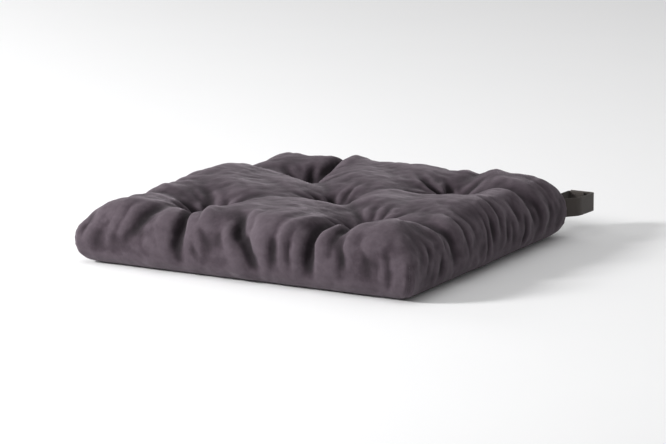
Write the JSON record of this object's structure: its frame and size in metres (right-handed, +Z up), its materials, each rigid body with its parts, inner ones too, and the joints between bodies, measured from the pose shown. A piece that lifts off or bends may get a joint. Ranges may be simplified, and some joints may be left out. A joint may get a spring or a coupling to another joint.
{
  "type": "chair seat pad",
  "caption": "Tufted, boxed seat pad for a dining chair, wider in front, with hook-and-loop tabs that close around the back posts.",
  "frame": {"origin": "bottom centre of the whole object's box, on the plane of the seat; the middle of the padded area is 24 mm in front of it", "axes": "+X to the right as seen by someone facing the chair from the front, +Y to the chair's back, +Z up"},
  "size_m": [0.396, 0.428, 0.068],
  "materials": {
    "cover_fabric": "soft brushed cotton twill, muted mauve grey",
    "underside_fabric": "plain woven cloth, a shade darker",
    "sewing_thread": "matt twisted thread, tone on tone",
    "foam": "open-cell foam",
    "wadding": "loose white fibre",
    "tab_webbing": "flat woven tape, dark brown-grey",
    "hook_fastener": "fine moulded hooks",
    "loop_fastener": "fine fleece of loops",
    "label_ribbon": "blank satin ribbon"
  },
  "bodies": {
    "pad": {"cover_top_panel": "cover_fabric", "cover_bottom_panel": "underside_fabric", "base_seam_thread": "sewing_thread", "rear_closing_stitch": "sewing_thread", "corner_thread_front_left": "sewing_thread", "corner_thread_front_right": "sewing_thread", "corner_thread_rear_left": "sewing_thread", "corner_thread_rear_right": "sewing_thread", "foam_core": "foam", "upper_wadding": "wadding", "lower_wadding": "wadding", "tuft_thread_front_left": "sewing_thread", "tuft_thread_front_right": "sewing_thread", "tuft_thread_center": "sewing_thread", "tuft_thread_rear_left": "sewing_thread", "tuft_thread_rear_right": "sewing_thread", "care_label": "label_ribbon", "left_hook_root_tack": "sewing_thread", "left_loop_root_tack": "sewing_thread", "right_hook_root_tack": "sewing_thread", "right_loop_root_tack": "sewing_thread"},
    "left_hook_run": {"left_hook_strap_run": "tab_webbing"},
    "left_hook_end": {"left_hook_strap_end": "tab_webbing", "left_hook_patch": "hook_fastener", "left_hook_stitching": "sewing_thread"},
    "left_loop_tab": {"left_loop_strap": "tab_webbing", "left_loop_patch": "loop_fastener", "left_loop_stitching": "sewing_thread"},
    "right_hook_run": {"right_hook_strap_run": "tab_webbing"},
    "right_hook_end": {"right_hook_strap_end": "tab_webbing", "right_hook_patch": "hook_fastener", "right_hook_stitching": "sewing_thread"},
    "right_loop_tab": {"right_loop_strap": "tab_webbing", "right_loop_patch": "loop_fastener", "right_loop_stitching": "sewing_thread"}
  },
  "joints": [
    {"name": "left_outer_tab_swing", "type": "hinge", "parent": "pad", "child": "left_hook_run", "pos_m": [-0.17119, 0.16179, 0.03], "axis": [0, 0, 1], "range_deg": [0, 60]},
    {"name": "left_outer_tab_peel", "type": "hinge", "parent": "left_hook_run", "child": "left_hook_end", "pos_m": [-0.18375, 0.2125, 0.03], "axis": [0, 0, 1], "range_deg": [0, 150]},
    {"name": "left_inner_tab_swing", "type": "hinge", "parent": "pad", "child": "left_loop_tab", "pos_m": [-0.15625, 0.16577, 0.03], "axis": [0, 0, -1], "range_deg": [0, 67.5]},
    {"name": "right_outer_tab_swing", "type": "hinge", "parent": "pad", "child": "right_hook_run", "pos_m": [0.17119, 0.16179, 0.03], "axis": [0, 0, -1], "range_deg": [0, 60]},
    {"name": "right_outer_tab_peel", "type": "hinge", "parent": "right_hook_run", "child": "right_hook_end", "pos_m": [0.18375, 0.2125, 0.03], "axis": [0, 0, -1], "range_deg": [0, 150]},
    {"name": "right_inner_tab_swing", "type": "hinge", "parent": "pad", "child": "right_loop_tab", "pos_m": [0.15625, 0.16577, 0.03], "axis": [0, 0, 1], "range_deg": [0, 67.5]}
  ],
  "couplings": [
    {"joint": "left_outer_tab_peel", "follows": "left_inner_tab_swing", "ratio": 2.2222},
    {"joint": "right_outer_tab_peel", "follows": "right_inner_tab_swing", "ratio": 2.2222}
  ]
}
